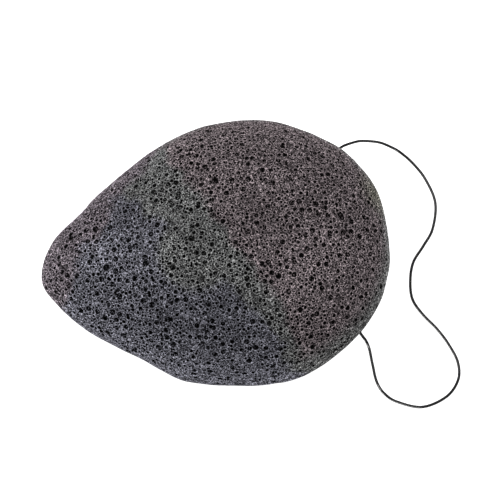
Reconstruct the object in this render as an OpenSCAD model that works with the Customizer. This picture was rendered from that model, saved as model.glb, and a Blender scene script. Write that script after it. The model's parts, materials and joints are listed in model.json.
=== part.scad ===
/* [Sponge] */
// Length from the pointed tip to the round end
sponge_length = 85; // [60:1:120]
// Width across the round end
sponge_width = 66.4; // [45:0.1:95]
// Height of the sponge as it lies on its belly
sponge_height = 38; // [30:1:55]
// Height of the widest line round the sponge
waist_height = 18; // [14:0.5:22]
// How deep the belly is pressed flat by the table
belly_flat_depth = 0.5; // [0.3:0.1:1.5]
// Share of the thickness that is gone at the tip
tip_thinning_share = 0.22; // [0:0.01:0.4]

/* [String] */
// Thickness of the string
string_diameter = 0.7; // [0.5:0.1:1.2]
// Room round the string in its channel, on each side
channel_clearance = 0.05; // [0.02:0.01:0.1]
// Depth of the hollow round each end of the channel
mouth_depth = 0.5; // [0.3:0.1:1]
// Distance of the channel from the round end
channel_from_end = 10.3; // [8:0.1:16]
// Height of the channel above the table
channel_height = 14; // [11:0.5:20]

/* [Knot] */
// Number of turns in the knot that joins the string's ends
knot_turns = 3; // [2:1:5]
// Thickness of the knot
knot_diameter = 2.1; // [2.1:0.1:4]
// Length of each cut end beyond the knot
tail_length = 5; // [3:0.5:8]
// Room round the knot and the cut ends in the sponge
pocket_clearance = 0.3; // [0.2:0.05:1]

/* [Hidden] */

sponge_colour = "#565355";
string_colour = "#1d1c20";

// Length by which a cutting solid runs past what it cuts
overrun = 1;
// Steps round a full circle on turned pieces
turned_steps = 32;

// Outline seen from above, anticlockwise from the middle of the round end, as shares of the length
// and the width. The two sides differ a little, as on a moulded sponge.
outline_shares = [
    [0.5, 0], [0.485, 0.165], [0.42, 0.31], [0.325, 0.41], [0.22, 0.475], [0.1, 0.5],
    [-0.025, 0.485], [-0.14, 0.425], [-0.26, 0.335], [-0.39, 0.205], [-0.46, 0.125],
    [-0.5, 0], [-0.46, -0.11], [-0.395, -0.205], [-0.265, -0.33], [-0.15, -0.435],
    [-0.025, -0.48], [0.1, -0.5], [0.22, -0.475], [0.33, -0.4], [0.42, -0.3], [0.48, -0.155]
];
// Place of the crown, from the middle of the length, as a share of the length
crown_share = 0.1;
// Fullness of the upper and the lower half: 1 is an ellipse, and less is fuller
upper_fullness_share = 0.92;
lower_fullness_share = 0.85;
// Steps from one outline point to the next, and from the waist to the crown or the belly
outline_steps = 2;
half_rings = 13;

crown_x = crown_share * sponge_length;
upper_height = sponge_height - waist_height;
lower_height = waist_height + belly_flat_depth;
outline_count = len(outline_shares);
ring_count = outline_count * outline_steps;
last_ring = 2 * half_rings - 2;

channel_x = sponge_length / 2 - channel_from_end;
channel_radius = string_diameter / 2 + channel_clearance;

// The knot's turns are pulled into each other, so each takes this share of the string's thickness
turn_share = 0.95;
turn_pitch = turn_share * string_diameter;
knot_length = (knot_turns - 1) * turn_pitch + string_diameter;
knot_core_radius = knot_diameter / 2 - string_diameter / 2;
// The cut ends lie beside the string, clear of it as the channel is
tail_offset = string_diameter + channel_clearance;
pocket_radius = max(knot_diameter / 2, tail_offset + string_diameter / 2) + pocket_clearance;
pocket_length = knot_length + 2 * (tail_length + pocket_clearance);

// Centre line of the free string, from the far end of the channel, round the sponge's round end on
// the table, to the near end
loop_route = [
    [32.2, 23.4, 14], [32.4, 23.95, 13.85], [32.7, 24.45, 13.6], [33.2, 24.85, 13.25],
    [34, 25.2, 12.7], [34.8, 25.6, 12.3], [36, 26.3, 11.7], [38, 27.1, 10.6],
    [40.2, 27.9, 9], [42.9, 28.4, 6.6], [45.7, 28.6, 4], [48.1, 28.1, 1.85],
    [50.7, 26.6, 0.55], [53.5, 23.2, 0.35], [56, 18.4, 0.35], [57.4, 11.9, 0.35],
    [55.6, 5.2, 0.35], [52.6, 1.1, 0.35], [49.4, -2.8, 0.35], [47.9, -7.3, 0.35],
    [47.6, -12.2, 0.35], [49.4, -16.4, 0.35], [52.4, -20.8, 0.35], [54.6, -25.1, 0.35],
    [56.1, -30, 0.35], [55.4, -34.5, 0.35], [51.8, -38.3, 0.35], [45.5, -40, 0.35],
    [39.4, -37.7, 0.35], [36.7, -35.2, 0.65], [35.5, -33.3, 2.1], [34.9, -31.6, 4.4],
    [34.6, -30.2, 6.9], [34.3, -28.9, 9.2], [34.1, -27.8, 11], [33.8, -26.8, 12.4],
    [33.5, -25.9, 13.4], [33, -24.9, 13.9], [32.4, -23.8, 14], [32.2, -23, 14]
];
route_count = len(loop_route);
far_exit_y = loop_route[0].y;
near_exit_y = loop_route[route_count - 1].y;
// Sides of the free string's tube, and the distance between its rings in string thicknesses
tube_sides = 8;
ring_pitch = 2.5 * string_diameter;

function smooth(t) = t * t * (3 - 2 * t);

// Place at t on the curve from b to c, where a comes before b and d comes after c
function curve_point(a, b, c, d, t) =
    b + (c - a) * t / 2
    + (2 * a - 5 * b + 4 * c - d) * t * t / 2
    + (3 * b - a - 3 * c + d) * t * t * t / 2;

function outline_share(i) = outline_shares[(i + outline_count) % outline_count];

// Points of the outline at the waist, at their real size
outline = [
    for (i = [0 : outline_count - 1], step = [0 : outline_steps - 1])
        let (share = curve_point(
            outline_share(i - 1), outline_share(i), outline_share(i + 1), outline_share(i + 2),
            step / outline_steps
        ))
        [share.x * sponge_length, share.y * sponge_width]
];

// Share of the thickness that is left at x
function thickness_share(x) =
    let (towards_tip = min(max((crown_x - x) / (crown_x + sponge_length / 2), 0), 1))
    1 - tip_thinning_share * smooth(towards_tip);

// Outline point p, drawn in and raised to its place at an angle above or below the waist
function skin_point(p, angle) =
    let (
        fullness = angle < 0 ? lower_fullness_share : upper_fullness_share,
        height = angle < 0 ? -lower_height : upper_height,
        reach = pow(cos(angle), fullness),
        x = crown_x + reach * (p.x - crown_x)
    )
    [x, reach * p.y, waist_height + height * pow(abs(sin(angle)), fullness) * thickness_share(x)];

// The skin's points: the belly's lowest point, the rings upwards, then the crown
skin_points = [
    [crown_x, 0, -belly_flat_depth],
    for (ring = [0 : last_ring], p = outline) skin_point(p, 90 * ((ring + 1) / half_rings - 1)),
    [crown_x, 0, sponge_height]
];
crown_point = len(skin_points) - 1;

// Number of a skin point, counted round its ring
function skin_index(ring, i) = 1 + ring * ring_count + i % ring_count;

skin_faces = [
    for (i = [0 : ring_count - 1]) each [
        [0, skin_index(0, i), skin_index(0, i + 1)],
        [crown_point, skin_index(last_ring, i + 1), skin_index(last_ring, i)]
    ],
    for (ring = [0 : last_ring - 1], i = [0 : ring_count - 1]) each [
        [skin_index(ring, i), skin_index(ring + 1, i), skin_index(ring + 1, i + 1)],
        [skin_index(ring, i), skin_index(ring + 1, i + 1), skin_index(ring, i + 1)]
    ]
];

// Point of the route, which runs straight on past both ends
function route_point(i) =
    i < 0 ? 2 * loop_route[0] - loop_route[1]
    : i < route_count ? loop_route[i]
    : 2 * loop_route[route_count - 1] - loop_route[route_count - 2];

function route_curve(i, t) =
    curve_point(route_point(i - 1), route_point(i), route_point(i + 1), route_point(i + 2), t);

// Centres of the tube's rings, none of them so low that the string would sink into the table
ring_centres = [
    for (
        i = [0 : route_count - 2],
        steps = [max(1, round(norm(route_point(i + 1) - route_point(i)) / ring_pitch))],
        step = [0 : steps - 1]
    )
        let (p = route_curve(i, step / steps))
        [p.x, p.y, max(p.z, string_diameter / 2)],
    loop_route[route_count - 1]
];
last_centre = len(ring_centres) - 1;

// The string's direction at a ring: both ends lie along the channel
function ring_direction(i) =
    i == 0 || i == last_centre ? [0, 1, 0] : ring_centres[i + 1] - ring_centres[i - 1];

tube_points = [
    for (i = [0 : last_centre])
        let (
            way = ring_direction(i) / norm(ring_direction(i)),
            sideways = cross([0, 0, 1], way),
            side = sideways / norm(sideways),
            up = cross(way, side)
        )
        for (corner = [0 : tube_sides - 1])
            let (angle = (corner + 0.5) * 360 / tube_sides)
            ring_centres[i] + string_diameter / 2 * (cos(angle) * side + sin(angle) * up)
];

function tube_index(i, corner) = i * tube_sides + corner % tube_sides;

tube_faces = [
    [for (corner = [0 : tube_sides - 1]) tube_index(0, corner)],
    for (i = [0 : last_centre - 1], corner = [0 : tube_sides - 1]) each [
        [tube_index(i, corner), tube_index(i + 1, corner), tube_index(i + 1, corner + 1)],
        [tube_index(i, corner), tube_index(i + 1, corner + 1), tube_index(i, corner + 1)]
    ],
    [for (corner = [0 : tube_sides - 1]) tube_index(last_centre, tube_sides - 1 - corner)]
];

// Round bar on the channel's axis, or beside it, from one y to another
module channel_bar(from_y, to_y, radius, above_axis = 0) {
    translate([channel_x, from_y, channel_height + above_axis])
        rotate([-90, 0, 0]) cylinder(h = to_y - from_y, r = radius, $fn = turned_steps);
}

// Hollow where the string has drawn in the skin: a cone that opens outwards at 45 degrees
module channel_mouth(exit_y) {
    mouth_length = sponge_width / 2 + overrun;
    translate([channel_x, exit_y - sign(exit_y) * mouth_depth, channel_height])
        rotate([-90 * sign(exit_y), 0, 0])
            cylinder(
                h = mouth_length, r1 = channel_radius, r2 = channel_radius + mouth_length,
                $fn = turned_steps
            );
}

module sponge_body() {
    color(sponge_colour)
        difference() {
            polyhedron(points = skin_points, faces = skin_faces, convexity = 4);
            translate([-sponge_length, -sponge_width, -belly_flat_depth - overrun])
                cube([2 * sponge_length, 2 * sponge_width, belly_flat_depth + overrun]);
            channel_bar(-sponge_width / 2 - overrun, sponge_width / 2 + overrun, channel_radius);
            channel_bar(-pocket_length / 2, pocket_length / 2, pocket_radius);
            channel_mouth(far_exit_y);
            channel_mouth(near_exit_y);
        }
}

module string_loop() {
    color(string_colour) polyhedron(points = tube_points, faces = tube_faces, convexity = 8);
}

module string_thread_far() {
    color(string_colour) channel_bar(knot_length / 2, far_exit_y, string_diameter / 2);
}

module string_thread_near() {
    color(string_colour) channel_bar(near_exit_y, -knot_length / 2, string_diameter / 2);
}

module string_knot() {
    color(string_colour)
        translate([channel_x, -knot_length / 2, channel_height])
            rotate([-90, 0, 0])
                rotate_extrude($fn = turned_steps) {
                    square([knot_core_radius, knot_length]);
                    for (turn = [0 : knot_turns - 1])
                        translate([knot_core_radius, string_diameter / 2 + turn * turn_pitch])
                            circle(d = string_diameter, $fn = turned_steps);
                }
}

module string_tails() {
    color(string_colour) {
        channel_bar(knot_length / 2, knot_length / 2 + tail_length, string_diameter / 2, tail_offset);
        channel_bar(-knot_length / 2 - tail_length, -knot_length / 2, string_diameter / 2, -tail_offset);
    }
}

sponge_body();
string_loop();
string_thread_far();
string_thread_near();
string_knot();
string_tails();
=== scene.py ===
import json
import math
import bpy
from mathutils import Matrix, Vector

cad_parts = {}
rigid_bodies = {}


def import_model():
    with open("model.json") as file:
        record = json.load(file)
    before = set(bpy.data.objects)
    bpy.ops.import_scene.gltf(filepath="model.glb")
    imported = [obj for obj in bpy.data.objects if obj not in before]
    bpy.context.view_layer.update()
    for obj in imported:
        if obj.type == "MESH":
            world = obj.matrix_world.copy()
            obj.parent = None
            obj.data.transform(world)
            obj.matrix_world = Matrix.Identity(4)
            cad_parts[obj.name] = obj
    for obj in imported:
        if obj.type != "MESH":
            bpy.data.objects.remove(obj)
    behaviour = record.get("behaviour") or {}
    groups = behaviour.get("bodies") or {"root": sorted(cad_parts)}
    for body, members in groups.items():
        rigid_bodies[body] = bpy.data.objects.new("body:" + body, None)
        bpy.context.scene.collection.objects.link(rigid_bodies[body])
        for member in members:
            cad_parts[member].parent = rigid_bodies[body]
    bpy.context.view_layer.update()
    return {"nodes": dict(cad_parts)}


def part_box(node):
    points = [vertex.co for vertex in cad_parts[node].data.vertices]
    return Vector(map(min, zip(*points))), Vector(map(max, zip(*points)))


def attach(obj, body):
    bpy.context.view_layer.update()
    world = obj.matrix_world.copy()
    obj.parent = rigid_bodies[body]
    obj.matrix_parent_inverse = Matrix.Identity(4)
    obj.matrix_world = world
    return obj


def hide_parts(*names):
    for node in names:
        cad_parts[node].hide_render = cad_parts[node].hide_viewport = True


bl_info = {
    "name": "Konjac Sponge",
    "version": (1, 0, 0),
    "blender": (4, 5, 0),
    "location": "3D View > Sidebar > Konjac Sponge",
    "description": "Finishes a drop-shaped konjac sponge and its hanging string on their packed solids",
    "category": "Add Mesh",
}

import bpy
import numpy as np
from mathutils import Matrix, Vector

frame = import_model()
SPONGE_LOW, SPONGE_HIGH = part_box("sponge_body")

MM = 0.001

# Outline of the sponge seen from above, as shares of its length and width, anticlockwise from the
# middle of the round end. A program fitted them to the sponge's outline, and they were rounded.
OUTLINE_SHARES = [
    (0.5, 0), (0.485, 0.165), (0.42, 0.31), (0.325, 0.41), (0.22, 0.475), (0.1, 0.5),
    (-0.025, 0.485), (-0.14, 0.425), (-0.26, 0.335), (-0.39, 0.205), (-0.46, 0.125),
    (-0.5, 0), (-0.46, -0.11), (-0.395, -0.205), (-0.265, -0.33), (-0.15, -0.435),
    (-0.025, -0.48), (0.1, -0.5), (0.22, -0.475), (0.33, -0.4), (0.42, -0.3), (0.48, -0.155),
]
CROWN_SHARE = 0.1
UPPER_FULLNESS_SHARE = 0.92
LOWER_FULLNESS_SHARE = 0.85
TIP_THINNING_SHARE = 0.22

# Soft patches of the foam: middle, radius and how much lighter or darker they are. They follow the real
# sponge's light and dark patches, which are partly its own lightness and partly painted light and shade,
# like the lighter patches low on the near flank.
TONE_AND_LIGHT_PATCHES_MM = [
    ((-2, -20, 34), 17, -0.28), ((-18, -15, 30), 9, -0.25), ((-22, 10, 30), 12, -0.18),
    ((8, 4, 38), 9, -0.3), ((16, -1, 38), 8, -0.2), ((-4, 1, 37), 9, -0.22),
    ((27, 12, 34), 9, -0.14), ((15, 20, 34), 9, -0.12), ((18, -28, 28), 8, -0.15),
    ((31, -24, 21), 8, -0.2), ((-34, 7, 26), 7, -0.15), ((-18, -3, 33), 6, -0.2),
    ((-12, -19, 31), 8, -0.12), ((-34, -7, 26), 7, -0.2), ((-30, 1, 29), 10, 0.3),
    ((-23, -1, 32), 12, 0.2), ((-22, -11, 31), 6, 0.25), ((-13, -3, 35), 7, 0.28),
    ((3, -10, 37), 7, 0.18), ((24, -9, 35), 12, 0.28), ((15, -16, 36), 11, 0.2),
    ((-1, 8, 37), 7, 0.15), ((-5, 27, 28), 9, 0.2), ((42, 6, 23), 9, 0.25),
    ((-11, -28, 23), 9, 0.2), ((12, -32, 24), 8, 0.1),
]
# Soft patches with a painted colour cast of the light, each of their own: middle, radius and what the
# colours are multiplied by
LIGHT_CAST_PATCHES_MM = [((-5, -4, 37), 14, (1.0, 0.995, 1.0)), ((40, 8, 25), 8, (1.08, 1.02, 0.88))]

# Centre line of the free string in millimetres, from the far end of its channel to the near end. A
# program laid most of these points along the real string, and they were rounded. Four points near
# the near end lie up to 0.2 mm from those of the part's source.
LOOP_ROUTE_MM = [
    (32.2, 23.4, 14), (32.4, 23.95, 13.85), (32.7, 24.45, 13.6), (33.2, 24.85, 13.25),
    (34, 25.2, 12.7), (34.8, 25.6, 12.3), (36, 26.3, 11.7), (38, 27.1, 10.6),
    (40.2, 27.9, 9), (42.9, 28.4, 6.6), (45.7, 28.6, 4), (48.1, 28.1, 1.85),
    (50.7, 26.6, 0.55), (53.5, 23.2, 0.35), (56, 18.4, 0.35), (57.4, 11.9, 0.35),
    (55.6, 5.2, 0.35), (52.6, 1.1, 0.35), (49.4, -2.8, 0.35), (47.9, -7.3, 0.35),
    (47.6, -12.2, 0.35), (49.4, -16.4, 0.35), (52.4, -20.8, 0.35), (54.6, -25.1, 0.35),
    (56.1, -30, 0.35), (55.4, -34.5, 0.35), (51.8, -38.3, 0.35), (45.5, -40, 0.35),
    (39.4, -37.7, 0.35), (36.7, -35.2, 0.65), (35.5, -33.3, 2.1), (34.9, -31.6, 4.4),
    (34.6, -30.2, 6.9), (34.3, -28.9, 9.2), (34.1, -27.8, 11), (33.9, -26.8, 12.4),
    (33.6, -25.9, 13.4), (33.2, -24.9, 13.9), (32.6, -23.8, 14), (32.2, -23, 14),
]


class SpongeSettings(bpy.types.PropertyGroup):
    """Sizes and colours of the sponge"""

    waist_height: bpy.props.FloatProperty(
        name="Waist height", description="Height of the widest line round the sponge",
        default=18 * MM, unit="LENGTH")
    belly_flat_depth: bpy.props.FloatProperty(
        name="Belly flat", description="How deep the belly is pressed flat by the table",
        default=0.5 * MM, unit="LENGTH")
    grid_steps: bpy.props.IntProperty(
        name="Grid steps", description="Steps along one edge of the skin's six patches",
        default=300, min=16, max=400)
    large_cell: bpy.props.FloatProperty(
        name="Large cell", description="Mean distance between large bubbles in the foam",
        default=1.9 * MM, unit="LENGTH")
    large_radius: bpy.props.FloatProperty(
        name="Large pore", description="Radius of the largest bubbles",
        default=0.82 * MM, unit="LENGTH")
    medium_cell: bpy.props.FloatProperty(
        name="Medium cell", description="Mean distance between medium bubbles in the foam",
        default=1.15 * MM, unit="LENGTH")
    medium_radius: bpy.props.FloatProperty(
        name="Medium pore", description="Radius of the medium bubbles",
        default=0.45 * MM, unit="LENGTH")
    fine_cell: bpy.props.FloatProperty(
        name="Fine cell", description="Mean distance between the smallest bubbles",
        default=0.78 * MM, unit="LENGTH")
    fine_radius: bpy.props.FloatProperty(
        name="Fine pore", description="Radius of the smallest bubbles",
        default=0.32 * MM, unit="LENGTH")
    wave_size: bpy.props.FloatProperty(
        name="Wave size", description="Length of the skin's slow waves",
        default=13 * MM, unit="LENGTH")
    wave_depth: bpy.props.FloatProperty(
        name="Wave depth", description="Depth of the skin's slow waves",
        default=0.4 * MM, unit="LENGTH")
    dimple_radius: bpy.props.FloatProperty(
        name="Dimple radius", description="Radius of the dimple where the string leaves the sponge",
        default=1.2 * MM, unit="LENGTH")
    dimple_depth: bpy.props.FloatProperty(
        name="Dimple depth", description="Depth of the dimple where the string leaves the sponge",
        default=0.8 * MM, unit="LENGTH")
    grain_size: bpy.props.FloatProperty(
        name="Grain size", description="Size of the finest grains of the foam",
        default=0.26 * MM, unit="LENGTH")
    # Painted highlight: the thin walls are coloured far lighter than the foam between them, standing for
    # the light they catch
    lit_wall_colour: bpy.props.FloatVectorProperty(
        name="Cell walls", description="Colour of the thin walls between the cells",
        default=(0.745, 0.758, 0.752), subtype="COLOR", min=0, max=1)
    skin_colour: bpy.props.FloatVectorProperty(
        name="Skin", description="Colour of the foam between the walls",
        default=(0.032, 0.0327, 0.0324), subtype="COLOR", min=0, max=1)
    shade_colour: bpy.props.FloatVectorProperty(
        name="Shade", description="Colour of the darker grains of the foam",
        default=(0.01, 0.0098, 0.01), subtype="COLOR", min=0, max=1)
    # Painted shade: the pores are painted near black, standing for the shade deep inside them
    pore_shade_colour: bpy.props.FloatVectorProperty(
        name="Pores", description="Colour deep inside the pores",
        default=(0.0004, 0.0004, 0.0004), subtype="COLOR", min=0, max=1)
    # Painted light: these casts tint the foam with the colour of the light, cool on the near side and warm
    # towards the round end
    warm_light_cast: bpy.props.FloatVectorProperty(
        name="Warm cast", description="What the colours are multiplied by near the round end",
        default=(1.13, 0.93, 0.99), subtype="COLOR", min=0, max=2)
    cool_light_cast: bpy.props.FloatVectorProperty(
        name="Cool cast", description="What the colours are multiplied by on the near side",
        default=(0.965, 0.945, 1.12), subtype="COLOR", min=0, max=2)
    tip_light_cast: bpy.props.FloatVectorProperty(
        name="Tip cast", description="What the colours are multiplied by at the tip",
        default=(1.08, 0.92, 1.04), subtype="COLOR", min=0, max=2)


class StringSettings(bpy.types.PropertyGroup):
    """Sizes and colours of the hanging string"""

    diameter: bpy.props.FloatProperty(
        name="Diameter", description="Thickness of the string",
        default=0.7 * MM, unit="LENGTH")
    sides: bpy.props.IntProperty(
        name="Sides", description="Sides of the string's tube", default=20, min=8, max=48)
    ring_spacing: bpy.props.FloatProperty(
        name="Ring spacing", description="Distance between the rings of the string's tube",
        default=0.22 * MM, unit="LENGTH")
    colour: bpy.props.FloatVectorProperty(
        name="Colour", description="Colour of the waxed string",
        default=(0.003, 0.003, 0.0035), subtype="COLOR", min=0, max=1)


class StageSettings(bpy.types.PropertyGroup):
    """Camera, lights and floor"""

    azimuth: bpy.props.FloatProperty(
        name="Azimuth", description="Side that the camera looks from",
        default=math.radians(-8.1), subtype="ANGLE")
    elevation: bpy.props.FloatProperty(
        name="Elevation", description="Height of the camera above the table, as an angle",
        default=math.radians(72), subtype="ANGLE")
    distance: bpy.props.FloatProperty(
        name="Distance", description="Distance from the camera to its aim",
        default=608.6 * MM, unit="LENGTH")
    aim: bpy.props.FloatVectorProperty(
        name="Aim", description="Point that the camera looks at",
        default=(8.53 * MM, 0.45 * MM, 18 * MM), unit="LENGTH")
    lens_mm: bpy.props.FloatProperty(
        name="Lens", description="Focal length in millimetres", default=180)
    floor_colour: bpy.props.FloatVectorProperty(
        name="Floor", description="Colour of the floor",
        default=(0.92, 0.92, 0.92), subtype="COLOR", min=0, max=1)
    sky_strength: bpy.props.FloatProperty(
        name="Sky", description="Strength of the even light from all round", default=0.435)
    key_power: bpy.props.FloatProperty(
        name="Key light", description="Power of the light behind the tip", default=3.0, unit="POWER")
    fill_power: bpy.props.FloatProperty(
        name="Fill light", description="Power of the light behind the round end",
        default=1.5, unit="POWER")
    gleam_power: bpy.props.FloatProperty(
        name="Gleam", description="Power of each strip light that gleams along the string",
        default=14.0, unit="POWER")
    floor_glow: bpy.props.FloatProperty(
        name="Floor glow", description="How much the white floor shines up by itself", default=0.1)


def add_node(tree, kind, inputs=(), **settings):
    """A new node. inputs gives a value or another node's output for each socket's name or number."""
    node = tree.nodes.new(kind)
    for name, value in settings.items():
        setattr(node, name, value)
    for key, value in dict(inputs).items():
        if isinstance(value, bpy.types.NodeSocket):
            tree.links.new(value, node.inputs[key])
        else:
            node.inputs[key].default_value = value
    return node


def calculate(tree, operation, *values, clamp=False):
    """Output of a Math node."""
    return add_node(
        tree, "ShaderNodeMath", enumerate(values), operation=operation, use_clamp=clamp).outputs[0]


def vector_sum(tree, operation, *values):
    """Output of a Vector Math node."""
    return add_node(tree, "ShaderNodeVectorMath", enumerate(values), operation=operation).outputs[0]


def ease_between(tree, value, start, end, low=0.0, high=1.0):
    """value's smooth step from low at start to high at end."""
    node = add_node(
        tree, "ShaderNodeMapRange", {0: value, 1: start, 2: end, 3: low, 4: high},
        interpolation_type="SMOOTHSTEP")
    return node.outputs[0]


def blend_colours(tree, factor, first, second, blend="MIX"):
    """Output of a Mix node for colours."""
    node = add_node(tree, "ShaderNodeMix", data_type="RGBA", blend_type=blend)
    sockets = (node.inputs[0], node.inputs[6], node.inputs[7])
    for socket, value in zip(sockets, (factor, first, second)):
        if isinstance(value, bpy.types.NodeSocket):
            tree.links.new(value, socket)
        elif isinstance(value, (int, float)):
            socket.default_value = value
        else:
            socket.default_value = (*value, 1)
    return node.outputs[2]


def new_tree(name, kind, inputs, outputs):
    """A node group with named sockets: inputs and outputs give (name, socket type, default)."""
    tree = bpy.data.node_groups.new(name, kind)
    for in_out, sockets in (("INPUT", inputs), ("OUTPUT", outputs)):
        for socket_name, socket_type, default in sockets:
            socket = tree.interface.new_socket(socket_name, in_out=in_out, socket_type=socket_type)
            if default is not None:
                socket.default_value = default
    return tree, tree.nodes.new("NodeGroupInput"), tree.nodes.new("NodeGroupOutput")


def set_inputs(modifier, values):
    """Sets a Geometry Nodes modifier's inputs by their names."""
    for item in modifier.node_group.interface.items_tree:
        if item.item_type == "SOCKET" and item.in_out == "INPUT" and item.name in values:
            modifier[item.identifier] = values[item.name]


def link_mesh(name, mesh):
    """A new object in the scene that holds mesh."""
    piece = bpy.data.objects.new(name, mesh)
    bpy.context.scene.collection.objects.link(piece)
    return piece


def apply_tree(piece, tree, values):
    """Runs a Geometry Nodes tree on piece and leaves its result as a plain mesh."""
    modifier = piece.modifiers.new(tree.name, "NODES")
    modifier.node_group = tree
    set_inputs(modifier, values)
    graph = bpy.context.evaluated_depsgraph_get()
    mesh = bpy.data.meshes.new_from_object(
        piece.evaluated_get(graph), preserve_all_data_layers=True, depsgraph=graph)
    mesh.name = piece.name
    if piece.type == "MESH":
        piece.modifiers.remove(modifier)
        old = piece.data
        piece.data = mesh
        bpy.data.meshes.remove(old)
        return piece
    name = piece.name
    bpy.data.objects.remove(piece)
    return link_mesh(name, mesh)


def curve_between(points, closed, steps):
    """Points along the smooth curve through points, steps from one to the next."""
    points = np.asarray(points, float)
    if closed:
        before, after, ahead = (np.roll(points, shift, axis=0) for shift in (1, -1, -2))
        start = points
    else:
        longer = np.vstack([2 * points[0] - points[1], points, 2 * points[-1] - points[-2]])
        before, start, after, ahead = longer[:-3], longer[1:-2], longer[2:-1], longer[3:]
    t = (np.arange(steps) / steps)[None, :, None]
    before, start, after, ahead = (p[:, None, :] for p in (before, start, after, ahead))
    found = (
        start + (after - before) * t / 2
        + (2 * before - 5 * start + 4 * after - ahead) * t**2 / 2
        + (3 * start - before - 3 * after + ahead) * t**3 / 2
    ).reshape(-1, points.shape[1])
    return found if closed else np.vstack([found, points[-1]])


class SpongeShape:
    """The smooth skin of the sponge, worked out from its box and the outline's shares."""

    OUTLINE_STEPS = 64

    def __init__(self, sizes):
        self.length, self.width, self.height = SPONGE_HIGH - SPONGE_LOW
        self.crown_x = CROWN_SHARE * self.length
        self.waist = sizes.waist_height
        self.upper_height = self.height - self.waist
        self.lower_height = self.waist + sizes.belly_flat_depth
        outline = curve_between(OUTLINE_SHARES, True, self.OUTLINE_STEPS) * (self.length, self.width)
        x, y = outline[:, 0] - self.crown_x, outline[:, 1]
        turn = np.arctan2(y, x)
        order = np.argsort(turn)
        self.turns, self.reaches = turn[order], np.hypot(x, y)[order]

    def reach(self, turn):
        """Distance from the crown's axis to the outline, in the direction turn."""
        return np.interp(turn, self.turns, self.reaches, period=2 * math.pi)

    def skin(self, turn, rise):
        """Points of the skin in the direction turn, at the angle rise above the waist."""
        below = rise < 0
        fullness = np.where(below, LOWER_FULLNESS_SHARE, UPPER_FULLNESS_SHARE)
        height = np.where(below, -self.lower_height, self.upper_height)
        drawn_in = np.maximum(np.cos(rise), 0) ** fullness
        reach = self.reach(turn) * drawn_in
        x = self.crown_x + reach * np.cos(turn)
        towards_tip = np.clip((self.crown_x - x) / (self.crown_x + self.length / 2), 0, 1)
        thickness = 1 - TIP_THINNING_SHARE * towards_tip**2 * (3 - 2 * towards_tip)
        z = self.waist + height * np.abs(np.sin(rise)) ** fullness * thickness
        return np.column_stack([x, reach * np.sin(turn), np.maximum(z, 0)])


def cube_patches(steps):
    """Grid points and quads on the surface of a cube, each side divided into steps."""
    line = np.arange(steps)
    u, v = (grid.ravel() for grid in np.meshgrid(line, line, indexing="ij"))
    quads = []
    for axis in range(3):
        for side in (0, steps):
            corners = []
            for du, dv in ((0, 0), (1, 0), (1, 1), (0, 1)):
                corner = np.empty((u.size, 3), np.int64)
                corner[:, axis] = side
                corner[:, (axis + 1) % 3] = u + du
                corner[:, (axis + 2) % 3] = v + dv
                corners.append(corner)
            if side == 0:
                corners.reverse()
            quads.append(np.stack(corners, axis=1))
    quads = np.concatenate(quads)
    keys = (quads * ((steps + 1) ** 2, steps + 1, 1)).sum(axis=2)
    used, quad_points = np.unique(keys, return_inverse=True)
    points = np.column_stack(
        [used // (steps + 1) ** 2, used // (steps + 1) % (steps + 1), used % (steps + 1)])
    return points, quad_points.reshape(-1, 4)


def sponge_mesh(sizes):
    """The smooth skin as an even net of quads, with a flat map of its upper and lower half."""
    shape = SpongeShape(sizes)
    steps = sizes.grid_steps
    grid, quads = cube_patches(steps)
    # The tangent evens out the quads of a cube that is blown up to a ball
    ball = np.tan((grid / steps - 0.5) * math.pi / 2)
    ball /= np.linalg.norm(ball, axis=1)[:, None]
    turn = np.arctan2(ball[:, 1], ball[:, 0])
    # The net is pulled towards the pointed tip, which lies further out
    tip_pull = 0.2
    turn = turn + tip_pull * np.sin(turn)
    rise = np.arcsin(np.clip(ball[:, 2], -1, 1))
    mesh = bpy.data.meshes.new("sponge")
    points = shape.skin(turn, rise)
    mesh.vertices.add(len(points))
    mesh.vertices.foreach_set("co", points.astype(np.float32).ravel())
    mesh.loops.add(quads.size)
    mesh.loops.foreach_set("vertex_index", quads.ravel().astype(np.int32))
    mesh.polygons.add(len(quads))
    mesh.polygons.foreach_set("loop_start", np.arange(0, quads.size, 4, dtype=np.int32))
    mesh.update(calc_edges=True)
    mesh.validate()
    flat_map(mesh, shape, turn, rise, quads)
    mesh.shade_smooth()
    return mesh


def flat_map(mesh, shape, turn, rise, quads):
    """UV map with the upper half of the skin over the lower half, each spread out flat."""
    angle_count = 400
    angles = np.linspace(0, math.pi / 2, angle_count)
    mean_reach = shape.width / 2
    across, up = mean_reach * np.cos(angles), shape.upper_height * np.sin(angles)
    from_waist = np.concatenate([[0], np.cumsum(np.hypot(np.diff(across), np.diff(up)))])
    spread = (from_waist[-1] - np.interp(np.abs(rise), angles, from_waist)) / mean_reach
    reach = shape.reach(turn) * spread
    flat = np.column_stack([shape.crown_x + reach * np.cos(turn), reach * np.sin(turn)])
    widest = from_waist[-1] / mean_reach
    margin = 1.02
    scale = 1 / (2 * shape.width * widest * margin)
    lower = rise[quads].mean(axis=1) < 0
    map_middle, lower_middle, upper_middle = 0.5, 0.25, 0.75
    corner_uv = flat[quads] * scale + (map_middle, 0)
    corner_uv[..., 1] += np.where(lower, lower_middle, upper_middle)[:, None]
    corner_uv[lower, :, 0] = 1 - corner_uv[lower, :, 0]
    layer = mesh.uv_layers.new(name="OFBake")
    layer.data.foreach_set("uv", corner_uv.astype(np.float32).ravel())


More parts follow.
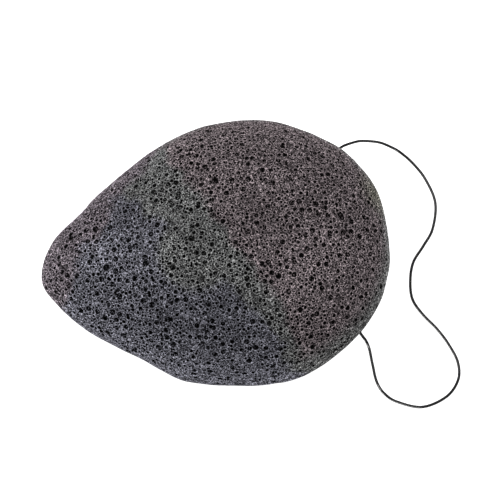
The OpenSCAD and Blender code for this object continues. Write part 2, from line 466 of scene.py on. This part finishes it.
def bubble_layer_tree(kind):
    """Bubbles of one size that fill the foam.

    Hollow is how deep a point of the skin lies inside one, from 0 to 1, and Rim is the thin wall
    round the hole. Tone is a number of each bubble's own, and Clear is 1 on the ground beyond it.
    """
    rim_middle, rim_reach, rim_crest = 0.08 * MM, 0.11 * MM, 0.01 * MM
    clear_start, clear_end = 0.02 * MM, 0.18 * MM
    tree, inlet, outlet = new_tree(
        "Bubble Layer", kind,
        [("Place", "NodeSocketVector", None), ("Cell", "NodeSocketFloat", 1 * MM),
         ("Radius", "NodeSocketFloat", 0.3 * MM), ("Spread", "NodeSocketFloat", 0.5)],
        [("Hollow", "NodeSocketFloat", None), ("Rim", "NodeSocketFloat", None),
         ("Tone", "NodeSocketFloat", None), ("Clear", "NodeSocketFloat", None)])
    per_metre = calculate(tree, "DIVIDE", 1.0, inlet.outputs["Cell"])
    bubbles = add_node(
        tree, "ShaderNodeTexVoronoi",
        {"Vector": inlet.outputs["Place"], "Scale": per_metre, "Randomness": 0.8},
        voronoi_dimensions="3D", feature="F1")
    separate = "FunctionNodeSeparateColor" if kind == "GeometryNodeTree" else "ShaderNodeSeparateColor"
    draw = add_node(tree, separate, {0: bubbles.outputs["Color"]})
    shrink = calculate(tree, "MULTIPLY", draw.outputs[0], inlet.outputs["Spread"])
    radius = calculate(
        tree, "MULTIPLY", inlet.outputs["Radius"], calculate(tree, "SUBTRACT", 1.0, shrink))
    away = calculate(tree, "MULTIPLY", bubbles.outputs["Distance"], inlet.outputs["Cell"])
    share = calculate(tree, "DIVIDE", away, radius)
    square = calculate(tree, "MULTIPLY", share, share)
    inside = calculate(tree, "SUBTRACT", 1.0, square, clamp=True)
    tree.links.new(calculate(tree, "SQRT", inside), outlet.inputs["Hollow"])
    beyond = calculate(tree, "SUBTRACT", away, radius)
    off_middle = calculate(tree, "ABSOLUTE", calculate(tree, "SUBTRACT", beyond, rim_middle))
    rim = ease_between(tree, off_middle, rim_reach, rim_crest)
    tree.links.new(rim, outlet.inputs["Rim"])
    tree.links.new(ease_between(tree, beyond, clear_start, clear_end), outlet.inputs["Clear"])
    tree.links.new(draw.outputs[1], outlet.inputs["Tone"])
    return tree


def noise_field(tree, place, size, detail):
    """A Noise node whose lumps are about size long."""
    per_metre = 1 / size if isinstance(size, float) else calculate(tree, "DIVIDE", 1.0, size)
    return add_node(tree, "ShaderNodeTexNoise", {"Vector": place, "Scale": per_metre, "Detail": detail})


def foam_layers(tree, kind, place, cells, radii, wave_size, layer_tree):
    """The outputs of the large, medium and fine bubbles, whose places wander a little."""
    # Share of the medium radius by which the bubbles wander
    wander_share = 0.4
    # How much of its radius a bubble of each layer may lose
    spreads = (0.45, 0.4, 0.3)
    # What the radii are multiplied by where the foam is tight and loose, and at the tip
    tight, loose, tip_growth = 0.9, 1.06, 1.07
    growth_start, growth_end = 10 * MM, -20 * MM
    wander = vector_sum(
        tree, "SUBTRACT", noise_field(tree, place, cells[1], 1.0).outputs["Color"], (0.5, 0.5, 0.5))
    push = calculate(tree, "MULTIPLY", radii[1], wander_share)
    bend = add_node(
        tree, "ShaderNodeVectorMath", {0: wander, "Scale": push}, operation="SCALE").outputs[0]
    bent_place = vector_sum(tree, "ADD", place, bend)
    crowding = ease_between(
        tree, noise_field(tree, place, wave_size, 2.0).outputs[0], 0.3, 0.7, tight, loose)
    along = add_node(tree, "ShaderNodeSeparateXYZ", {0: place}).outputs[0]
    growth = ease_between(tree, along, growth_start, growth_end, 1.0, tip_growth)
    crowding = calculate(tree, "MULTIPLY", crowding, growth)
    layers = []
    for cell, radius, spread in zip(cells, radii, spreads):
        group = tree.nodes.new("GeometryNodeGroup" if kind == "GeometryNodeTree" else "ShaderNodeGroup")
        group.node_tree = layer_tree
        for name, value in (("Place", bent_place), ("Cell", cell),
                            ("Radius", calculate(tree, "MULTIPLY", radius, crowding))):
            if isinstance(value, bpy.types.NodeSocket):
                tree.links.new(value, group.inputs[name])
            else:
                group.inputs[name].default_value = value
        group.inputs["Spread"].default_value = spread
        layers.append(group.outputs)
    return layers


def hollows_apart(tree, layers):
    """How deep a point lies in the large, medium and fine bubbles. Smaller ones keep clear of larger."""
    large, medium, fine = layers
    clear_of_both = calculate(tree, "MULTIPLY", large["Clear"], medium["Clear"])
    return (
        large["Hollow"], calculate(tree, "MULTIPLY", medium["Hollow"], large["Clear"]),
        calculate(tree, "MULTIPLY", fine["Hollow"], clear_of_both))


def open_cells_tree(material):
    """Sinks bubbles of three sizes, slow waves and the string's two dimples into the skin."""
    # How deep the bubbles of each layer are sunk, as shares of their radius
    depth_shares = (0.95, 0.95, 0.8)
    sizes = ["Large Cell", "Large Radius", "Medium Cell", "Medium Radius", "Fine Cell", "Fine Radius",
             "Wave Size", "Wave Depth", "Dimple Radius", "Dimple Depth"]
    tree, inlet, outlet = new_tree(
        "Open Cells", "GeometryNodeTree",
        [("Geometry", "NodeSocketGeometry", None)]
        + [(name, "NodeSocketFloat", 1 * MM) for name in sizes]
        + [("Far Exit", "NodeSocketVector", None), ("Near Exit", "NodeSocketVector", None)],
        [("Geometry", "NodeSocketGeometry", None)])
    value = inlet.outputs
    place = add_node(tree, "GeometryNodeInputPosition").outputs[0]
    layers = foam_layers(
        tree, "GeometryNodeTree", place, [value[name] for name in sizes[0:6:2]],
        [value[name] for name in sizes[1:6:2]], value["Wave Size"],
        bubble_layer_tree("GeometryNodeTree"))
    waves = ease_between(
        tree, noise_field(tree, place, value["Wave Size"], 2.0).outputs[0], 0.25, 0.75, -0.5, 0.5)

    def dimple(exit_place):
        away = add_node(
            tree, "ShaderNodeVectorMath", {0: place, 1: exit_place}, operation="DISTANCE").outputs["Value"]
        return ease_between(tree, away, value["Dimple Radius"], 0.0)

    dimples = calculate(tree, "MAXIMUM", dimple(value["Far Exit"]), dimple(value["Near Exit"]))
    depth = calculate(tree, "MULTIPLY", waves, value["Wave Depth"])
    depth = calculate(tree, "ADD", depth, calculate(tree, "MULTIPLY", dimples, value["Dimple Depth"]))
    for hollow, radius, share in zip(hollows_apart(tree, layers), sizes[1:6:2], depth_shares):
        sunk = calculate(tree, "MULTIPLY", hollow, value[radius])
        depth = calculate(tree, "ADD", depth, calculate(tree, "MULTIPLY", sunk, share))
    inward = add_node(
        tree, "ShaderNodeVectorMath",
        {0: add_node(tree, "GeometryNodeInputNormal").outputs[0],
         "Scale": calculate(tree, "MULTIPLY", depth, -1.0)}, operation="SCALE").outputs[0]
    geometry = value["Geometry"]
    stored = (("skin_place", "FLOAT_VECTOR", place), ("dimple", "FLOAT", dimples))
    for name, data_type, field in stored:
        geometry = add_node(
            tree, "GeometryNodeStoreNamedAttribute",
            {"Geometry": geometry, "Name": name, "Value": field}, data_type=data_type).outputs[0]
    geometry = add_node(
        tree, "GeometryNodeSetPosition", {"Geometry": geometry, "Offset": inward}).outputs[0]
    geometry = add_node(tree, "GeometryNodeRealizeInstances", {0: geometry}).outputs[0]
    geometry = add_node(
        tree, "GeometryNodeSetMaterial", {"Geometry": geometry, "Material": material}).outputs[0]
    tree.links.new(geometry, outlet.inputs[0])
    return tree


def new_material(name):
    """An empty material with a Principled BSDF, and its node tree and shader."""
    material = bpy.data.materials.new(name)
    material.use_nodes = True
    tree = material.node_tree
    tree.nodes.clear()
    shader = tree.nodes.new("ShaderNodeBsdfPrincipled")
    output = tree.nodes.new("ShaderNodeOutputMaterial")
    tree.links.new(shader.outputs[0], output.inputs[0])
    return material, tree, shader


def nearness(tree, place, middle_mm, radius_mm):
    """How near place is to a patch's middle, from 0 at its edge to 1."""
    away = add_node(
        tree, "ShaderNodeVectorMath", {0: place, 1: tuple(value * MM for value in middle_mm)},
        operation="DISTANCE").outputs["Value"]
    return ease_between(tree, away, radius_mm * MM, 0.0)


def painted_light_casts(tree, place, sizes):
    """Faint painted colour casts of the light: cool on the near side, warm near the round end, purple at
    the tip.
    """
    # A cast starts where the way along it passes its border, which wanders
    warm_side = ((0.89, 0.45, 0.0), 2.4 * MM)
    grey_side = ((0.77, 0.64, 0.0), -8 * MM)
    tip_side = ((-0.75, 0.66, 0.0), 24 * MM)
    border_wander, border_half_width = 16 * MM, 1.5 * MM
    # Low on the round end the warm cast gives way to grey
    low_grey, low_strength = (0.98, 1.01, 1.0), 0.8
    low_start, low_end = 28 * MM, 22 * MM
    drift = noise_field(tree, place, sizes.wave_size, 3.0).outputs[0]
    wander = calculate(tree, "MULTIPLY", calculate(tree, "SUBTRACT", drift, 0.5), border_wander)

    def past_border(way, border):
        across = add_node(tree, "ShaderNodeVectorMath", {0: place, 1: way}, operation="DOT_PRODUCT")
        along = calculate(tree, "ADD", across.outputs["Value"], wander)
        return ease_between(tree, along, border - border_half_width, border + border_half_width)

    (middle, radius, grey), (warm_middle, warm_radius, warm_patch) = LIGHT_CAST_PATCHES_MM
    cast = blend_colours(tree, past_border(*grey_side), sizes.cool_light_cast, grey)
    cast = blend_colours(tree, past_border(*tip_side), cast, sizes.tip_light_cast)
    near = ease_between(tree, nearness(tree, place, middle, radius), 0.1, 0.4)
    cast = blend_colours(tree, near, cast, grey)
    height = add_node(tree, "ShaderNodeSeparateXYZ", {0: place}).outputs[2]
    low = ease_between(tree, height, low_start, low_end, 0.0, low_strength)
    warm = blend_colours(tree, low, sizes.warm_light_cast, low_grey)
    cast = blend_colours(tree, past_border(*warm_side), cast, warm)
    return blend_colours(tree, nearness(tree, place, warm_middle, warm_radius), cast, warm_patch)


def painted_light_and_tone(tree, place, blotch_size):
    """How bright the foam is for its place.

    It is lighter on two flanks and darker under the belly, as painted light and painted shade, has soft
    patches that are partly painted light, and is blotchy near the waist.
    """
    # The way across a flank with painted light or the belly with painted shade, where along it the change
    # starts and ends in millimetres, and how strong the change is at both
    near_flank_light = ((-0.5, -0.87, 0.0), 8, 24, 0.26, 0.52)
    round_flank_light = ((0.97, 0.25, 0.0), 28, 44, 0.26, 0.68)
    belly_shade = ((0.8, -0.6, 0.0), -20, 24, 0.15, 0.45)
    # Heights between which the flanks, the blotches and the belly set in
    flank_top, flank_foot = 30 * MM, 20 * MM
    waist_top, waist_foot = 25 * MM, 19.5 * MM
    belly_top, belly_foot = 20 * MM, 10 * MM
    # The blotches are fainter round this place
    calm_middle, calm_radius = (-22, -22, 20), 24
    full_blotch, calm_blotch = 1.2, 0.35
    darkest_blotch, lightest_blotch = -0.48, 0.52
    height = add_node(tree, "ShaderNodeSeparateXYZ", {0: place}).outputs[2]

    def towards(way, start, end, low, high):
        across = add_node(tree, "ShaderNodeVectorMath", {0: place, 1: way}, operation="DOT_PRODUCT")
        return ease_between(tree, across.outputs["Value"], start * MM, end * MM, low, high)

    # Painted light: the low flanks are lighter, standing for the sheen and light that graze them
    flank = calculate(
        tree, "MULTIPLY", ease_between(tree, height, flank_top, flank_foot),
        calculate(tree, "MAXIMUM", towards(*near_flank_light), towards(*round_flank_light)))
    tone_and_light = calculate(tree, "ADD", 1.0, flank)
    for middle, radius, change in TONE_AND_LIGHT_PATCHES_MM:
        near = calculate(tree, "MULTIPLY", nearness(tree, place, middle, radius), change)
        tone_and_light = calculate(tree, "ADD", tone_and_light, near)
    calm = ease_between(
        tree, nearness(tree, place, calm_middle, calm_radius), 0.0, 0.7, full_blotch, calm_blotch)
    near_waist = calculate(
        tree, "MULTIPLY", ease_between(tree, height, waist_top, waist_foot), calm)
    blotch = ease_between(
        tree, noise_field(tree, place, blotch_size, 2.0).outputs[0], 0.4, 0.6,
        darkest_blotch, lightest_blotch)
    tone_and_light = calculate(
        tree, "MULTIPLY", tone_and_light,
        calculate(tree, "ADD", 1.0, calculate(tree, "MULTIPLY", blotch, near_waist)))
    # Painted shade: the foam under the belly is darker, standing for the shade that it lies in
    belly = calculate(
        tree, "MULTIPLY", ease_between(tree, height, belly_top, belly_foot), towards(*belly_shade))
    return calculate(tree, "MULTIPLY", tone_and_light, calculate(tree, "SUBTRACT", 1.0, belly))


def foam_material(sizes):
    """Dry open-celled foam: cell walls with a painted highlight, darker cells and pores painted black as
    shade, with faint painted tints of the light.
    """
    # Sizes of the patterns, as shares of the grain size
    grain_share, fleck_share, strand_share, blotch_share = 1.5, 1.15, 2.2, 4
    # Painted highlight: how light the thin strands between the walls and the faintest rims are painted, as
    # where they catch the light
    strand_highlight, faintest_rim = 0.3, 0.25
    # Painted shade: how dark the palest pores of each layer are painted, and the middle of a dimple,
    # standing for the shade deep inside them
    palest_pore_shade, dimple_shade = (1.0, 1.0, 0.8), 0.8
    wall_relief, grain_relief = 0.8, 0.4
    smoothest, roughest = 0.7, 0.95
    material, tree, shader = new_material("charcoal_foam")
    place = add_node(tree, "ShaderNodeAttribute", attribute_name="skin_place").outputs["Vector"]
    dimple = add_node(tree, "ShaderNodeAttribute", attribute_name="dimple").outputs["Fac"]
    layers = foam_layers(
        tree, "ShaderNodeTree", place, (sizes.large_cell, sizes.medium_cell, sizes.fine_cell),
        (sizes.large_radius, sizes.medium_radius, sizes.fine_radius), sizes.wave_size,
        bubble_layer_tree("ShaderNodeTree"))
    grain = noise_field(tree, place, sizes.grain_size * grain_share, 3.0).outputs[0]
    flecks = noise_field(tree, place, sizes.grain_size * fleck_share, 1.0).outputs[1]
    large, medium, fine = layers
    fleck = add_node(tree, "ShaderNodeSeparateColor", {0: flecks}).outputs[1]
    uneven = ease_between(tree, fleck, 0.49, 0.64)
    strands = noise_field(tree, place, sizes.grain_size * strand_share, 1.5).outputs[0]
    off_strand = calculate(tree, "ABSOLUTE", calculate(tree, "SUBTRACT", strands, 0.5))
    fibre = ease_between(tree, off_strand, 0.05, 0.0, 0.0, strand_highlight)
    rims = calculate(
        tree, "MULTIPLY", calculate(tree, "MAXIMUM", large["Rim"], medium["Rim"]),
        ease_between(tree, uneven, 0.0, 1.0, faintest_rim, 1.0))
    wall = calculate(tree, "MAXIMUM", rims, calculate(tree, "MULTIPLY", fine["Rim"], uneven))
    wall = calculate(tree, "MAXIMUM", wall, fibre)
    base = blend_colours(
        tree, ease_between(tree, grain, 0.4, 0.62), sizes.shade_colour, sizes.skin_colour)
    # Painted highlight: the walls, rims and strands take the light wall colour, standing for the light
    # they catch
    colour = blend_colours(tree, wall, base, sizes.lit_wall_colour)
    colour = blend_colours(tree, 1.0, colour, painted_light_casts(tree, place, sizes), "MULTIPLY")
    # Painted light and shade: lighter flanks and a darker belly, with soft patches and blotches
    tone_and_light = painted_light_and_tone(tree, place, sizes.grain_size * blotch_share)
    colour = add_node(
        tree, "ShaderNodeVectorMath", {0: colour, "Scale": tone_and_light}, operation="SCALE").outputs[0]
    # Painted shade: the pores and the middle of each dimple are painted dark, standing for the shade
    # inside them
    dark = None
    for layer, hollow, palest in zip(layers, hollows_apart(tree, layers), palest_pore_shade):
        strength = ease_between(tree, layer["Tone"], 0.0, 0.7, palest, 1.0)
        hole = calculate(tree, "MULTIPLY", ease_between(tree, hollow, 0.0, 0.45), strength)
        if layer is large:
            # Walls further down show faintly inside the widest holes
            hole = calculate(tree, "MULTIPLY", hole, ease_between(tree, wall, 0.0, 1.0, 1.0, 0.5))
        dark = hole if dark is None else calculate(tree, "MAXIMUM", dark, hole)
    dark = calculate(tree, "MAXIMUM", dark, calculate(tree, "MULTIPLY", dimple, dimple_shade))
    colour = blend_colours(tree, dark, colour, sizes.pore_shade_colour)
    tree.links.new(colour, shader.inputs["Base Color"])
    relief = calculate(
        tree, "ADD", calculate(tree, "MULTIPLY", wall, wall_relief),
        calculate(tree, "MULTIPLY", grain, grain_relief))
    bump = add_node(
        tree, "ShaderNodeBump", {"Strength": 0.8, "Distance": 0.15 * MM, "Height": relief})
    tree.links.new(bump.outputs[0], shader.inputs["Normal"])
    tree.links.new(
        ease_between(tree, grain, 0.3, 0.7, smoothest, roughest), shader.inputs["Roughness"])
    shader.inputs["Specular IOR Level"].default_value = 0.04
    return material


def waxed_string_material(sizes):
    """Smooth waxed cord: near black, with a soft shine and faint uneven wear of the wax."""
    # How much lighter worn wax is
    worn_light = 1.7
    smoothest, roughest = 0.15, 0.22
    material, tree, shader = new_material("waxed_string")
    place = add_node(tree, "ShaderNodeTexCoord").outputs["Object"]
    wear = add_node(
        tree, "ShaderNodeTexNoise", {"Vector": place, "Scale": 900.0, "Detail": 3.0})
    base = Vector(sizes.colour)
    colour = blend_colours(
        tree, ease_between(tree, wear.outputs[0], 0.35, 0.7), tuple(base), tuple(base * worn_light))
    tree.links.new(colour, shader.inputs["Base Color"])
    tree.links.new(
        ease_between(tree, wear.outputs[0], 0.3, 0.7, smoothest, roughest),
        shader.inputs["Roughness"])
    bump = add_node(
        tree, "ShaderNodeBump", {"Strength": 0.06, "Distance": 0.02 * MM, "Height": wear.outputs[0]})
    tree.links.new(bump.outputs[0], shader.inputs["Normal"])
    shader.inputs["Specular IOR Level"].default_value = 0.4
    return material


def string_tube_tree(material):
    """A round tube along a curve, closed at both ends."""
    tree, inlet, outlet = new_tree(
        "String Tube", "GeometryNodeTree",
        [("Geometry", "NodeSocketGeometry", None), ("Diameter", "NodeSocketFloat", 0.7 * MM),
         ("Sides", "NodeSocketInt", 16)],
        [("Geometry", "NodeSocketGeometry", None)])
    radius = calculate(tree, "DIVIDE", inlet.outputs["Diameter"], 2.0)
    profile = add_node(tree, "GeometryNodeCurvePrimitiveCircle", {"Resolution": inlet.outputs["Sides"]})
    tree.links.new(radius, profile.inputs["Radius"])
    tube = add_node(
        tree, "GeometryNodeCurveToMesh",
        {"Curve": inlet.outputs["Geometry"], "Profile Curve": profile.outputs[0], "Fill Caps": True})
    smooth = add_node(tree, "GeometryNodeSetShadeSmooth", {"Geometry": tube.outputs[0]})
    whole = add_node(tree, "GeometryNodeRealizeInstances", {0: smooth.outputs[0]})
    finished = add_node(
        tree, "GeometryNodeSetMaterial", {"Geometry": whole.outputs[0], "Material": material})
    tree.links.new(finished.outputs[0], outlet.inputs[0])
    return tree


def poly_curve(name, points):
    """A curve object with one open spline of straight pieces through points."""
    data = bpy.data.curves.new(name, "CURVE")
    data.dimensions = "3D"
    spline = data.splines.new("POLY")
    spline.points.add(len(points) - 1)
    spline.points.foreach_set("co", np.column_stack([points, np.ones(len(points))]).ravel())
    piece = bpy.data.objects.new(name, data)
    bpy.context.scene.collection.objects.link(piece)
    return piece


def evenly_spaced(points, spacing):
    """Points a steady distance apart along the line through points."""
    run = np.concatenate([[0], np.cumsum(np.linalg.norm(np.diff(points, axis=0), axis=1))])
    wanted = np.linspace(0, run[-1], max(2, round(run[-1] / spacing)) + 1)
    return np.column_stack([np.interp(wanted, run, points[:, axis]) for axis in range(3)]), run[-1]


def material_named(name, make, sizes):
    """The material of that name, made when it is first asked for."""
    return bpy.data.materials.get(name) or make(sizes)


class OBJECT_OT_make_sponge(bpy.types.Operator):
    """Make the sponge's skin with its pores"""

    bl_idname = "object.make_konjac_sponge"
    bl_label = "Make Sponge"

    def execute(self, context):
        sizes = context.scene.sponge_settings
        material = material_named("charcoal_foam", foam_material, sizes)
        sponge = link_mesh("sponge", sponge_mesh(sizes))
        route = np.array(LOOP_ROUTE_MM) * MM
        values = {
            "Large Cell": sizes.large_cell, "Large Radius": sizes.large_radius,
            "Medium Cell": sizes.medium_cell, "Medium Radius": sizes.medium_radius,
            "Fine Cell": sizes.fine_cell, "Fine Radius": sizes.fine_radius,
            "Wave Size": sizes.wave_size, "Wave Depth": sizes.wave_depth,
            "Dimple Radius": sizes.dimple_radius, "Dimple Depth": sizes.dimple_depth,
            "Far Exit": route[0], "Near Exit": route[-1],
        }
        apply_tree(sponge, open_cells_tree(material), values)
        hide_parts("sponge_body")
        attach(sponge, "sponge")
        return {"FINISHED"}


class OBJECT_OT_make_string(bpy.types.Operator):
    """Make the free loop and finish the string's hidden stretches, knot and cut ends"""

    bl_idname = "object.make_sponge_string"
    bl_label = "Make String"

    def execute(self, context):
        sizes = context.scene.string_settings
        material = material_named("waxed_string", waxed_string_material, sizes)
        tree = string_tube_tree(material)
        curve_steps = 24
        route = curve_between(np.array(LOOP_ROUTE_MM) * MM, False, curve_steps)
        route[:, 2] = np.maximum(route[:, 2], sizes.diameter / 2)
        route, length = evenly_spaced(route, sizes.ring_spacing)
        loop = apply_tree(
            poly_curve("hanging_string", route), tree,
            {"Diameter": sizes.diameter, "Sides": sizes.sides})
        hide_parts("string_loop")
        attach(loop, "string")
        for node in ("string_thread_far", "string_thread_near", "string_knot", "string_tails"):
            slots = frame["nodes"][node].material_slots
            for slot in slots:
                slot.material = material
        return {"FINISHED"}


def aimed_at(place, target):
    """World matrix of a camera or light at place that looks at target, with its top up."""
    back = (place - target).normalized()
    side = Vector((0, 0, 1)).cross(back).normalized()
    up = back.cross(side)
    turned = Matrix((side, up, back)).transposed().to_4x4()
    return Matrix.Translation(place) @ turned


def direction(azimuth, elevation):
    """Unit vector from the object towards a camera or light at that azimuth and elevation."""
    return Vector((
        math.sin(azimuth) * math.cos(elevation),
        -math.cos(azimuth) * math.cos(elevation),
        math.sin(elevation),
    ))


def area_light(name, azimuth, elevation, distance, size, power, target):
    """A square soft light aimed at target; azimuth and elevation are in degrees."""
    data = bpy.data.lights.new(name, "AREA")
    data.size = size
    data.energy = power
    light = bpy.data.objects.new(name, data)
    bpy.context.scene.collection.objects.link(light)
    place = target + direction(math.radians(azimuth), math.radians(elevation)) * distance
    light.matrix_world = aimed_at(place, target)
    return light


class OBJECT_OT_make_stage(bpy.types.Operator):
    """Set up the floor, the lights and the camera"""

    bl_idname = "object.make_sponge_stage"
    bl_label = "Make Stage"

    FLOOR_HALF = 1.2
    # Distance of every light from the aim, and where each stands, in degrees
    LIGHT_DISTANCE = 0.9
    KEY_AZIMUTH, FILL_AZIMUTH, SOFT_ELEVATION = -120, 150, 55
    LEFT_GLEAM_AZIMUTH, FRONT_GLEAM_AZIMUTH, GLEAM_ELEVATION = -78, -22, 8
    SOFT_SIZE, STRIP_LENGTH, STRIP_WIDTH = 0.45, 0.7, 0.25
    # How much brighter the floor shines where the camera sees it, and how dark its specks are
    SEEN_GLOW, SPECK_SHADE = 0.9, 0.99
    SENSOR_WIDTH_MM = 36
    NEAREST_SEEN = 0.05

    def execute(self, context):
        sizes = context.scene.stage_settings
        scene = context.scene
        material, tree, shader = new_material("white_floor")
        speckle = add_node(
            tree, "ShaderNodeTexNoise",
            {"Vector": add_node(tree, "ShaderNodeTexCoord").outputs["Object"], "Scale": 40.0})
        floor_colour = Vector(sizes.floor_colour)
        tree.links.new(
            blend_colours(
                tree, speckle.outputs[0], tuple(floor_colour * self.SPECK_SHADE), tuple(floor_colour)),
            shader.inputs["Base Color"])
        shader.inputs["Roughness"].default_value = 0.9
        # The floor looks evenly white, as in a light tent, without throwing as much light back up
        seen = add_node(tree, "ShaderNodeLightPath").outputs["Is Camera Ray"]
        seen_glow = calculate(tree, "MULTIPLY", seen, self.SEEN_GLOW)
        glow = calculate(tree, "ADD", seen_glow, sizes.floor_glow)
        tree.links.new(glow, shader.inputs["Emission Strength"])
        shader.inputs["Emission Color"].default_value = (1, 1, 1, 1)
        half = self.FLOOR_HALF
        mesh = bpy.data.meshes.new("floor")
        mesh.from_pydata(
            [(-half, -half, 0), (half, -half, 0), (half, half, 0), (-half, half, 0)], [], [(0, 1, 2, 3)])
        mesh.materials.append(material)
        floor = link_mesh("floor", mesh)
        world = bpy.data.worlds.new("studio")
        scene.world = world
        world.use_nodes = True
        background = world.node_tree.nodes["Background"]
        background.inputs["Color"].default_value = (1, 1, 1, 1)
        background.inputs["Strength"].default_value = sizes.sky_strength
        aim = Vector(sizes.aim)
        for name, azimuth, power in (("key_light", self.KEY_AZIMUTH, sizes.key_power),
                                     ("fill_light", self.FILL_AZIMUTH, sizes.fill_power)):
            area_light(
                name, azimuth, self.SOFT_ELEVATION, self.LIGHT_DISTANCE, self.SOFT_SIZE, power, aim)
        # Two low strip lights that only draw the gleam along one side of the waxed string
        waxed = bpy.data.collections.new("waxed")
        for piece in scene.objects:
            if piece.name.startswith("hanging_string"):
                waxed.objects.link(piece)
        for name, azimuth in (("left_gleam", self.LEFT_GLEAM_AZIMUTH),
                              ("front_gleam", self.FRONT_GLEAM_AZIMUTH)):
            gleam = area_light(
                name, azimuth, self.GLEAM_ELEVATION, self.LIGHT_DISTANCE, self.STRIP_LENGTH,
                sizes.gleam_power, aim)
            gleam.data.shape = "RECTANGLE"
            gleam.data.size_y = self.STRIP_WIDTH
            gleam.data.use_shadow = False
            gleam.visible_diffuse = False
            gleam.light_linking.receiver_collection = waxed
        scene.view_settings.view_transform = "Standard"
        camera_data = bpy.data.cameras.new("camera")
        camera_data.lens = sizes.lens_mm
        camera_data.sensor_width = self.SENSOR_WIDTH_MM
        camera_data.clip_start = self.NEAREST_SEEN
        camera = bpy.data.objects.new("camera", camera_data)
        scene.collection.objects.link(camera)
        camera.matrix_world = aimed_at(
            aim + direction(sizes.azimuth, sizes.elevation) * sizes.distance, aim)
        scene.camera = camera
        return {"FINISHED"}


class VIEW3D_PT_konjac_sponge(bpy.types.Panel):
    """Buttons that make the sponge, its string and the stage"""

    bl_label = "Konjac Sponge"
    bl_space_type = "VIEW_3D"
    bl_region_type = "UI"
    bl_category = "Konjac Sponge"

    def draw(self, context):
        for operator, settings in (
            (OBJECT_OT_make_stage, context.scene.stage_settings),
            (OBJECT_OT_make_string, context.scene.string_settings),
            (OBJECT_OT_make_sponge, context.scene.sponge_settings),
        ):
            box = self.layout.box()
            for name in settings.__annotations__:
                box.prop(settings, name)
            box.operator(operator.bl_idname)


CLASSES = (
    SpongeSettings, StringSettings, StageSettings, OBJECT_OT_make_sponge, OBJECT_OT_make_string,
    OBJECT_OT_make_stage, VIEW3D_PT_konjac_sponge,
)
SETTINGS = {
    "sponge_settings": SpongeSettings,
    "string_settings": StringSettings,
    "stage_settings": StageSettings,
}


def register():
    for kind in CLASSES:
        bpy.utils.register_class(kind)
    for name, kind in SETTINGS.items():
        setattr(bpy.types.Scene, name, bpy.props.PointerProperty(type=kind))


def unregister():
    for name in SETTINGS:
        delattr(bpy.types.Scene, name)
    for kind in reversed(CLASSES):
        bpy.utils.unregister_class(kind)


def main():
    register()
    bpy.ops.object.make_sponge_string()
    bpy.ops.object.make_konjac_sponge()
    bpy.ops.object.make_sponge_stage()


if __name__ == "__main__":
    main()
